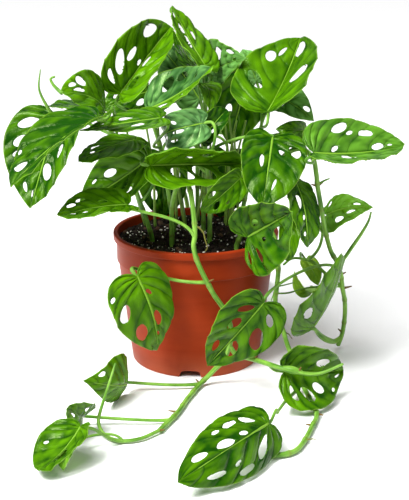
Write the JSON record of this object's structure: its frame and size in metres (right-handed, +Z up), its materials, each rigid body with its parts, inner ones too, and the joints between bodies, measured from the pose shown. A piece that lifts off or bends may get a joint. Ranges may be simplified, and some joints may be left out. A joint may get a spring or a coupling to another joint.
{
  "type": "potted swiss cheese vine",
  "caption": "Swiss cheese vine with perforated leaves, bushy over a terracotta-coloured plastic nursery pot, its stems trailing over the rim and out along the surface.",
  "frame": {"origin": "middle of the pot's foot, on the surface that the pot stands on", "axes": "+Z up the pot's axis, -Y towards the front, where the long stems trail over the rim, +X to the right seen from the front"},
  "size_m": [0.3898, 0.6264, 0.36],
  "materials": {
    "pot": "satin injection-moulded terracotta-coloured plastic",
    "soil": "rough dark potting soil",
    "leaf": "glossy green leaf",
    "young_leaf": "glossy pale green young leaf",
    "stem": "smooth green stem"
  },
  "bodies": {
    "root": {"leaf_back_1": "leaf", "leaf_back_2": "leaf", "leaf_back_3": "leaf", "leaf_back_4": "leaf", "leaf_back_5": "leaf", "leaf_back_6": "leaf", "leaf_back_7": "leaf", "leaf_back_8": "leaf", "leaf_back_9": "leaf", "leaf_floor_1": "leaf", "leaf_floor_2": "leaf", "leaf_floor_3": "leaf", "leaf_floor_4": "leaf", "leaf_floor_5": "young_leaf", "leaf_left_1": "leaf", "leaf_left_2": "leaf", "leaf_left_3": "leaf", "leaf_left_4": "leaf", "leaf_middle_1": "leaf", "leaf_middle_10": "leaf", "leaf_middle_11": "leaf", "leaf_middle_12": "leaf", "leaf_middle_2": "leaf", "leaf_middle_3": "leaf", "leaf_middle_4": "leaf", "leaf_middle_5": "leaf", "leaf_middle_6": "leaf", "leaf_middle_7": "leaf", "leaf_middle_8": "leaf", "leaf_middle_9": "leaf", "leaf_pot_1": "leaf", "leaf_pot_2": "leaf", "leaf_pot_3": "leaf", "leaf_right_1": "leaf", "leaf_right_2": "leaf", "leaf_right_3": "leaf", "leaf_right_4": "leaf", "leaf_right_5": "leaf", "leaf_right_6": "leaf", "leaf_right_7": "young_leaf", "leaf_right_8": "young_leaf", "leaf_top_1": "leaf", "leaf_top_2": "leaf", "leaf_top_3": "leaf", "leaf_top_4": "leaf", "leaf_top_5": "leaf", "leaf_top_6": "leaf", "leaf_top_7": "leaf", "pot": "pot", "soil": "soil", "stem_back": "stem", "stem_front": "stem", "stem_inner": "stem", "stem_left": "stem", "stem_middle": "stem", "stem_right": "stem", "stem_top": "stem", "stem_top_left": "stem", "stem_top_right": "stem", "vine_back": "stem"}
  },
  "joints": []
}
